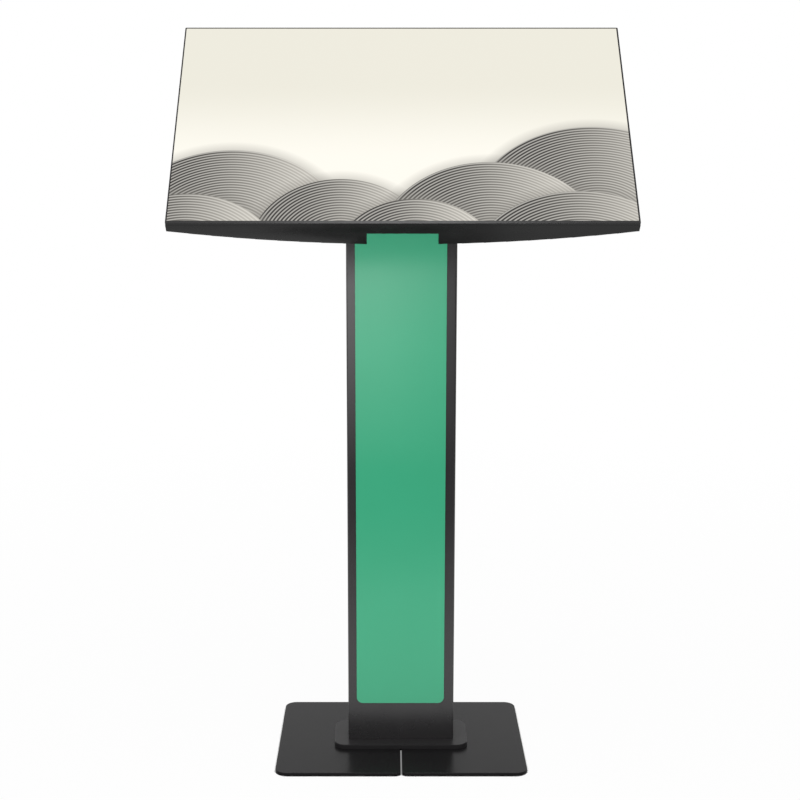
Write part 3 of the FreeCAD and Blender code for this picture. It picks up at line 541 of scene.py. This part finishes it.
panel_rounding = 0.3
green_print = finish("satin_film_over_green_print", ("#32946e", "#349872"), 120, (0.1, 0.12), 60,
                     4.0, 0.004, IOR=1.5)
softened("green_sheet", "graphic_panel", panel_rounding, green_print, "stand")
magnet = finish("magnet_sheet", ("#24211d", "#2b2824"), 10, (0.6, 0.75), 8, 1.5, 0.02)
dress(magnet, "magnet_sheet")

# Head: a steel bracket with two cheeks on top of the cap, powder coated black. Four plated cap
# screws hold it down, with nuts below the cap.

cap_head, cap_height, cap_shank, edge_break = 5.0, 3.3, 3.0, 0.5
cap_socket, cap_socket_depth = 2.0, 2.0
nut_chamfer, nut_flat, nut_height = 4.5, 4.35, 5.0


def bolt_and_nut(length):
    return ((cap_socket, -cap_socket_depth, True), (cap_socket, 0, True),
            (cap_head - edge_break, 0, False), (cap_head, -edge_break, False),
            (cap_head, -cap_height, False), (cap_shank, -cap_height, False),
            (cap_shank, nut_height - length, False), (nut_chamfer, nut_height - length, False),
            (nut_flat, nut_height - length - edge_break, True),
            (nut_flat, edge_break - length, True), (nut_chamfer, -length, False))


head_coat = finish("satin_powder_coat_on_brackets", ("#161617", "#1a1a1b"), 40, (0.3, 0.38), 20,
                   3.0, 0.012, IOR=1.5)
softened("head", "head_bracket", sheet_rounding, head_coat, "stand")
fasten("head_bolt_set", "head_bolts", bolt_and_nut, heads_up, zinc, "stand")

# Tilt joint: a plated pin through the cheeks with a nut on its end. A nylon washer each side gives
# the friction that holds the display at its slant.

pin_rounding = 0.4
nylon = finish("natural_nylon", ("#d4d1c5", "#dedbd1"), 6, (0.45, 0.6), 4, 1.0, 0.01, IOR=1.53)
softened("pin", "tilt_pin", pin_rounding, zinc, "stand")
softened("pin_nut", "tilt_nut", pin_rounding, zinc, "stand")
dress(nylon, "friction_washers")

# Display bracket: a square plate with two ears, folded from steel and powder coated. Four plated
# screws at 100 mm hold it against round plated posts that stand on the chassis.

vesa_head, vesa_height, vesa_shank, vesa_socket = 5.2, 3.2, 3.0, 2.0
vesa_crown, vesa_shoulder, vesa_shoulder_drop, vesa_brim_drop = 3.12, 4.472, 0.8, 1.92
rearward = -135


def dome_screw(length):
    return ((vesa_socket, -cap_socket_depth, True), (vesa_socket, 0, True),
            (vesa_crown, 0, False), (vesa_shoulder, -vesa_shoulder_drop, False),
            (vesa_head, -vesa_brim_drop, False), (vesa_head, -vesa_height, False),
            (vesa_shank, -vesa_height, False), (vesa_shank, edge_break - length, False),
            (vesa_shank - edge_break, -length, False))


softened("display_bracket", "tilt_bracket", sheet_rounding, head_coat, "display")
fasten("bracket_screw_set", "vesa_screws", dome_screw, rearward, zinc, "display")
dress(zinc, "vesa_standoffs")

# Chassis: the display's backbone, pressed from galvanised steel sheet. The zinc has crystallised in
# flat spangles that differ a little in grey and gloss.

spangle_mm = 7
galvanised = finish("galvanised_sheet", ("#8d9294", "#b3b7b8"), 10, (0.3, 0.48), 8, 1.0, 0.006,
                    Metallic=1.0)
tree = galvanised.node_tree
spot = add(tree, "ShaderNodeTexCoord").outputs["Object"]
spangle = add(tree, "ShaderNodeTexVoronoi", {"Vector": spot, "Scale": 1000 / spangle_mm})
greys = add(tree, "ShaderNodeSeparateColor", {0: spangle.outputs["Color"]})
sheet_colour = tree.nodes["Principled BSDF"].inputs["Base Color"].links[0].from_node
tree.links.new(greys.outputs[0], sheet_colour.inputs[0])
dress(galvanised, "rear_chassis")

# Circuit boards: glass fibre with green solder mask over copper tracks, on plated posts. The chips,
# coils and cans on them are black, and the heat sink is bare extruded aluminium.

tilt = math.radians(45)
frame_low, frame_high = (Vector(c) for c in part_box("bezel_frame"))
slope_height = 0.425
edge_y = frame_low.y
edge_z = frame_high.z - slope_height * math.sin(tilt)
track_half_pitch_mm, track_inner_mm, track_outer_mm = 0.8, 0.32, 0.4
track_patch_mm, upright_share, via_mm, via_share = 14, 0.5, 3.5, 0.14
solder_mask, masked_track, tinned_ring, bare_aluminium = "#0f4a2a", "#2a7a49", "#b7b6ad", "#a9abad"
board_back_mm, small_board_back_mm = 14.9, 9.9
heat_sink_middle, heat_sink_reach = (-0.170, 0.2125, 0), 0.0205


def in_display(tree):
    """Coordinates on the display's slope: across, up from its lower edge, out of its face."""
    corner = (0, -(edge_y * math.cos(tilt) + edge_z * math.sin(tilt)),
              edge_y * math.sin(tilt) - edge_z * math.cos(tilt))
    spot = add(tree, "ShaderNodeTexCoord").outputs["Object"]
    return add(tree, "ShaderNodeMapping", {"Vector": spot, "Location": corner,
                                           "Rotation": (-tilt, 0, 0)}).outputs[0]


def circuit_board(name, parts_from_mm):
    """Solder mask with tracks, and black parts further back than the board's own back face."""
    material = finish(name, ("#101011", "#1b1b1c"), 5, (0.3, 0.45), 6, 1.0, 0.01, IOR=1.55)
    tree = material.node_tree
    shader = tree.nodes["Principled BSDF"]
    parts = shader.inputs["Base Color"].links[0].from_socket
    place = in_display(tree)
    axes = add(tree, "ShaderNodeSeparateXYZ", {0: place})
    patch = add(tree, "ShaderNodeTexVoronoi", {"Vector": place, "Scale": 1000 / track_patch_mm})
    either = add(tree, "ShaderNodeSeparateColor", {0: patch.outputs["Color"]})
    upright = add(tree, "ShaderNodeMath", {0: either.outputs[0], 1: upright_share},
                  operation="GREATER_THAN")
    way = add(tree, "ShaderNodeMix", {0: upright.outputs[0], 2: axes.outputs["X"],
                                      3: axes.outputs["Y"]})
    pitch = add(tree, "ShaderNodeMath", {0: way.outputs[0], 1: track_half_pitch_mm / 1000},
                operation="PINGPONG")
    track = add(tree, "ShaderNodeMapRange", {"Value": pitch.outputs[0],
                                             "From Min": track_inner_mm / 1000,
                                             "From Max": track_outer_mm / 1000})
    mask = add(tree, "ShaderNodeMix", {0: track.outputs[0], 6: linear(masked_track),
                                       7: linear(solder_mask)}, data_type="RGBA")
    via = add(tree, "ShaderNodeTexVoronoi", {"Vector": place, "Scale": 1000 / via_mm})
    ring = add(tree, "ShaderNodeMath", {0: via.outputs["Distance"], 1: via_share},
               operation="LESS_THAN")
    face = add(tree, "ShaderNodeMix", {0: ring.outputs[0], 6: mask.outputs[2],
                                       7: linear(tinned_ring)}, data_type="RGBA")
    proud = add(tree, "ShaderNodeMath", {0: axes.outputs["Z"], 1: -parts_from_mm / 1000},
                operation="LESS_THAN")
    off_sink = add(tree, "ShaderNodeVectorMath", {0: place, 1: heat_sink_middle},
                   operation="SUBTRACT")
    off = add(tree, "ShaderNodeSeparateXYZ",
              {0: add(tree, "ShaderNodeVectorMath", {0: off_sink.outputs[0]},
                      operation="ABSOLUTE").outputs[0]})
    furthest = add(tree, "ShaderNodeMath", {0: off.outputs["X"], 1: off.outputs["Y"]},
                   operation="MAXIMUM")
    on_sink = add(tree, "ShaderNodeMath", {0: furthest.outputs[0], 1: heat_sink_reach},
                  operation="LESS_THAN")
    metal = add(tree, "ShaderNodeMath", {0: on_sink.outputs[0], 1: proud.outputs[0]},
                operation="MULTIPLY")
    stood = add(tree, "ShaderNodeMix", {0: on_sink.outputs[0], 6: parts,
                                        7: linear(bare_aluminium)}, data_type="RGBA")
    whole = add(tree, "ShaderNodeMix", {0: proud.outputs[0], 6: face.outputs[2],
                                        7: stood.outputs[2]}, data_type="RGBA")
    tree.links.new(metal.outputs[0], shader.inputs["Metallic"])
    tree.links.new(whole.outputs[2], shader.inputs["Base Color"])
    return material


dress(circuit_board("solder_mask_and_parts", board_back_mm), "main_board", "power_board")
dress(circuit_board("solder_mask_on_small_boards", small_board_back_mm), "driver_board",
      "button_board")
dress(zinc, "board_standoffs", "board_screws")

# Speakers: a moulded enclosure behind each grille in the shell, screwed to the chassis. Each has an
# oval driver: a rubber surround, a paper cone and a dust cap.

speaker_places = (-0.225, 0.225)
speaker_height_up = 0.052
ring_points = 64
# Half width, half height, power and depth in mm of each ring, from the enclosure's front round its
# back to the dust cap.
speaker_rings = ((44.8, 16.8, 9, 8.1), (45.0, 17.0, 9, 8.5), (45.0, 17.0, 9, 19.2),
                 (44.1, 16.1, 9, 20.1), (40.5, 14.6, 2.6, 20.1), (39.5, 13.9, 2.6, 19.4),
                 (37.0, 12.4, 2.2, 20.0), (34.5, 11.0, 2.0, 19.2), (14.0, 6.0, 2.0, 14.6),
                 (11.0, 4.8, 2.0, 15.4), (6.0, 2.6, 2.0, 16.2), (2.0, 1.0, 2.0, 16.4))


def on_slope(across, up, depth):
    """A point of the display, from metres across, up its slope and back from its face."""
    return (across, edge_y + (up + depth) * math.cos(tilt), edge_z + (up - depth) * math.sin(tilt))


def superellipse(half_width, half_height, power, i, points):
    """Point i of a superellipse. A power of 2 gives an oval, and a high one a rounded box."""
    angle = i * math.tau / points
    c, s = math.cos(angle), math.sin(angle)
    return (math.copysign(abs(c) ** (2 / power), c) * half_width,
            math.copysign(abs(s) ** (2 / power), s) * half_height)


shape = bmesh.new()
for middle in speaker_places:
    rings = []
    for half_width, half_height, power, depth in speaker_rings:
        ring = []
        for i in range(ring_points):
            across, up = superellipse(half_width, half_height, power, i, ring_points)
            ring.append(on_slope(middle + across / 1000, speaker_height_up + up / 1000,
                                 depth / 1000))
        rings.append(ring)
    add_skin(shape, rings)
mesh = finished_mesh("speaker_pair", shape)
mesh.materials.append(finish("moulded_speaker_enclosure", ("#131314", "#1c1c1d"), 9, (0.45, 0.65),
                             6, 1.0, 0.02, IOR=1.53))
speakers = bpy.data.objects.new("speaker_pair", mesh)
bpy.context.scene.collection.objects.link(speakers)
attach(speakers, "display")
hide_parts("speakers")

# Sockets and button: the mains inlet and the signal ports sit side by side in the recess, moulded
# in black nylon. The power button is a round cap of black ABS, polished by its mould.

socket_rounding = 0.25
socket_moulding = finish("glass_filled_nylon", ("#0f0f10", "#171718"), 6, (0.4, 0.52), 5, 0.8,
                         0.015, IOR=1.53)
softened("mains_inlet", "power_inlet", socket_rounding, socket_moulding, "display")
softened("signal_ports", "port_block", socket_rounding, socket_moulding, "display")
button_cap = finish("polished_black_abs", ("#121213", "#161617"), 8, (0.12, 0.2), 5, 1.5, 0.002,
                    IOR=1.53)
softened("button_cap", "power_button", socket_rounding, button_cap, "button")

# Light stack: a strip of lamps along the lower edge shines into a clear acrylic plate, whose dots
# of white ink throw the light forward through a milky film. A moulded frame holds film and panel at
# the rim.

lamp_half_pitch_mm, lamp_half_mm, ink_dot_mm, ink_dot_share = 3.5, 1.4, 2.0, 0.2
yellow_phosphor = "#dcc25c"
film = finish("milky_polyester_film", ("#e7e7e4", "#ecece9"), 40, (0.5, 0.7), 20, 2.0, 0.005,
              IOR=1.57)
dress(film, "diffuser")
acrylic = finish("clear_cast_acrylic", ("#eef3f2", "#f4f7f6"), 60, (0.04, 0.1), 30, 5.0, 0.001,
                 IOR=1.49)
tree = acrylic.node_tree
shader = tree.nodes["Principled BSDF"]
dots = add(tree, "ShaderNodeTexVoronoi", {"Vector": in_display(tree), "Randomness": 0.0,
                                          "Scale": 1000 / ink_dot_mm})
clear = add(tree, "ShaderNodeMath", {0: dots.outputs["Distance"], 1: ink_dot_share},
            operation="GREATER_THAN")
tree.links.new(clear.outputs[0], shader.inputs["Transmission Weight"])
dress(acrylic, "light_guide")
lamp_strip = finish("white_lamp_strip", ("#e4e4e0", "#eeeeea"), 12, (0.35, 0.5), 8, 1.0, 0.01,
                    IOR=1.55)
tree = lamp_strip.node_tree
shader = tree.nodes["Principled BSDF"]
along = add(tree, "ShaderNodeSeparateXYZ", {0: in_display(tree)})
off_lamp = add(tree, "ShaderNodeMath", {0: along.outputs["X"], 1: lamp_half_pitch_mm / 1000},
               operation="PINGPONG")
on_lamp = add(tree, "ShaderNodeMath", {0: off_lamp.outputs[0], 1: lamp_half_mm / 1000},
              operation="LESS_THAN")
strip_colour = add(tree, "ShaderNodeMix",
                   {0: on_lamp.outputs[0], 6: shader.inputs["Base Color"].links[0].from_socket,
                    7: linear(yellow_phosphor)}, data_type="RGBA")
tree.links.new(strip_colour.outputs[2], shader.inputs["Base Color"])
dress(lamp_strip, "led_bar")
frame_moulding = finish("matt_black_polycarbonate", ("#111112", "#19191a"), 15, (0.45, 0.6), 8,
                        0.8, 0.015, IOR=1.58)
dress(frame_moulding, "mid_frame")

# Rear shell: one moulding of black ABS with a bowed back, vents, grilles and a recess for the
# sockets. The back has a fine spark-eroded texture, the walls round it are smoother and mirror the
# floor softly, and eight sunk screws hold it.

shell_rounding = 0.5
wall_steepness = 0.5
shell_abs = finish("textured_black_abs", ("#0e0e0e", "#121212"), 50, (0.42, 0.5), 30, 1.5, 0.012,
                   IOR=1.4)
shell = softened("back_shell", "rear_shell", shell_rounding, shell_abs, "display")
shell.data.materials.append(finish("smooth_black_abs", ("#0b0b0b", "#0e0e0e"), 50, (0.22, 0.28),
                                   30, 1.5, 0.006, IOR=1.29))
for face in shell.data.polygons:
    outward = abs(face.normal.z - face.normal.y) * math.sin(tilt)
    face.material_index = int(outward < wall_steepness)

shell_head, shell_shank, shell_socket, shell_socket_depth = 3.0, 1.6, 1.0, 1.32
shell_head_height, shell_edge_break = 2.2, 0.3


def sunk_screw(length):
    return ((shell_socket, -shell_socket_depth, True), (shell_socket, 0, True),
            (shell_head - shell_edge_break, 0, False), (shell_head, -shell_edge_break, False),
            (shell_head, -shell_head_height, False), (shell_shank, -shell_head_height, False),
            (shell_shank, edge_break - length, False), (shell_shank - edge_break, -length, False))


black_zinc = finish("black_passivated_zinc", ("#1b1b1d", "#26262a"), 3, (0.3, 0.42), 2, 0.6,
                    0.003, Metallic=1.0)
fasten("shell_screw_set", "shell_screws", sunk_screw, rearward, black_zinc, "display")

# Frame: four strips of black aluminium round the panel, mitred into one rim 1.5 to 5.5 mm wide. The
# satin anodised face catches the light overhead. The sides are coloured darker and less reflective
# than the face, as painted shade.

rim_rounding = 0.15
rim_face = 0.95
rim_metal = finish("satin_black_rim", ("#171617", "#1a191a"), 30, (0.3, 0.32), 12, 1.2, 0.002,
                   IOR=1.5)
rim = softened("rim", "bezel_frame", rim_rounding, rim_metal, "display")
# Painted shade: the rim's sides take this darker, less reflective coat.
rim.data.materials.append(finish("rim_sides_painted_darker", ("#0b0b0b", "#0e0e0e"), 30, (0.22, 0.28),
                                 12, 1.2, 0.002, IOR=1.29))
for face in rim.data.polygons:
    outward = (face.normal.z - face.normal.y) * math.sin(tilt)
    face.material_index = int(outward < rim_face)

# Screen: a liquid crystal panel with an anti-glare face, lit from behind, with a dark margin on the
# right. It shows a generic wallpaper of overlapping ribbed fans in warm greys on ivory, laid out
# along the lower edge.

lit_right = 0.35752
ivory_low, ivory_high = 0.12, 0.3
rib_pitch, rib_begins, rib_full, rib_paleness = 0.0052, -0.4, 0.8, 0.5
dark_share = 0.5
soft_edge = 0.0006
cast_shadow, shadow_darkness = 0.018, 0.4
ivory_below, ivory_above, pale_rib, shadow_grey = "#fffcf2", "#eeebde", "#f1eee6", "#8d8a84"
fan_dark, fan_light = "#3d3b39", "#cdc9c0"
unlit_face, unlit_margin = "#080808", "#000000"
# Middle across, middle up from the display's lower edge, and radius of each fan, back to front.
fans = ((-0.265, -0.035, 0.185), (0.30, 0.0, 0.2), (-0.095, -0.045, 0.135), (0.135, -0.05, 0.175),
        (0.02, -0.075, 0.125), (-0.33, -0.09, 0.15), (0.27, -0.115, 0.18))

lit_panel = bpy.data.materials.new("lit_panel_behind_anti_glare_face")
lit_panel.use_nodes = True
tree = lit_panel.node_tree
shader = tree.nodes["Principled BSDF"]
shader.inputs["Base Color"].default_value = linear(unlit_face)
shader.inputs["IOR"].default_value = 1.2
shader.inputs["Emission Strength"].default_value = 1.0
flat = add(tree, "ShaderNodeVectorMath", {0: in_display(tree), 1: (1, 1, 0)},
           operation="MULTIPLY").outputs[0]
axes = add(tree, "ShaderNodeSeparateXYZ", {0: flat})
rise = add(tree, "ShaderNodeMapRange", {"Value": axes.outputs["Y"], "From Min": ivory_low,
                                        "From Max": ivory_high}, interpolation_type="SMOOTHSTEP")
drawn = add(tree, "ShaderNodeMix", {0: rise.outputs[0], 6: linear(ivory_below),
                                    7: linear(ivory_above)}, data_type="RGBA").outputs[2]
for across, up, radius in fans:
    reach = add(tree, "ShaderNodeVectorMath", {0: flat, 1: (across, up, 0)},
                operation="DISTANCE").outputs["Value"]
    wave = add(tree, "ShaderNodeMath", {0: reach, 1: math.tau / rib_pitch}, operation="MULTIPLY")
    rib = add(tree, "ShaderNodeMath", {0: wave.outputs[0]}, operation="SINE")
    crest = add(tree, "ShaderNodeMapRange", {"Value": rib.outputs[0], "From Min": rib_begins,
                                             "From Max": rib_full, "To Max": rib_paleness})
    side = add(tree, "ShaderNodeMapRange", {"Value": axes.outputs["X"],
                                            "From Min": across - radius * dark_share,
                                            "From Max": across + radius},
               interpolation_type="SMOOTHSTEP")
    tone = add(tree, "ShaderNodeMix", {0: side.outputs[0], 6: linear(fan_dark),
                                       7: linear(fan_light)}, data_type="RGBA")
    ribbed = add(tree, "ShaderNodeMix", {0: crest.outputs[0], 6: tone.outputs[2],
                                         7: linear(pale_rib)}, data_type="RGBA")
    shade = add(tree, "ShaderNodeMapRange", {"Value": reach, "From Min": radius,
                                             "From Max": radius + cast_shadow,
                                             "To Min": shadow_darkness, "To Max": 0.0})
    below = add(tree, "ShaderNodeMix", {0: shade.outputs[0], 6: drawn,
                                        7: linear(shadow_grey)}, data_type="RGBA")
    inside = add(tree, "ShaderNodeMapRange", {"Value": reach, "From Min": radius - soft_edge,
                                              "From Max": radius, "To Min": 1.0, "To Max": 0.0})
    drawn = add(tree, "ShaderNodeMix", {0: inside.outputs[0], 6: below.outputs[2],
                                        7: ribbed.outputs[2]}, data_type="RGBA").outputs[2]
lit = add(tree, "ShaderNodeMath", {0: axes.outputs["X"], 1: lit_right}, operation="LESS_THAN")
picture = add(tree, "ShaderNodeMix", {0: lit.outputs[0], 6: linear(unlit_margin), 7: drawn},
              data_type="RGBA")
tree.links.new(picture.outputs[2], shader.inputs["Emission Color"])
dress(lit_panel, "lcd_panel")
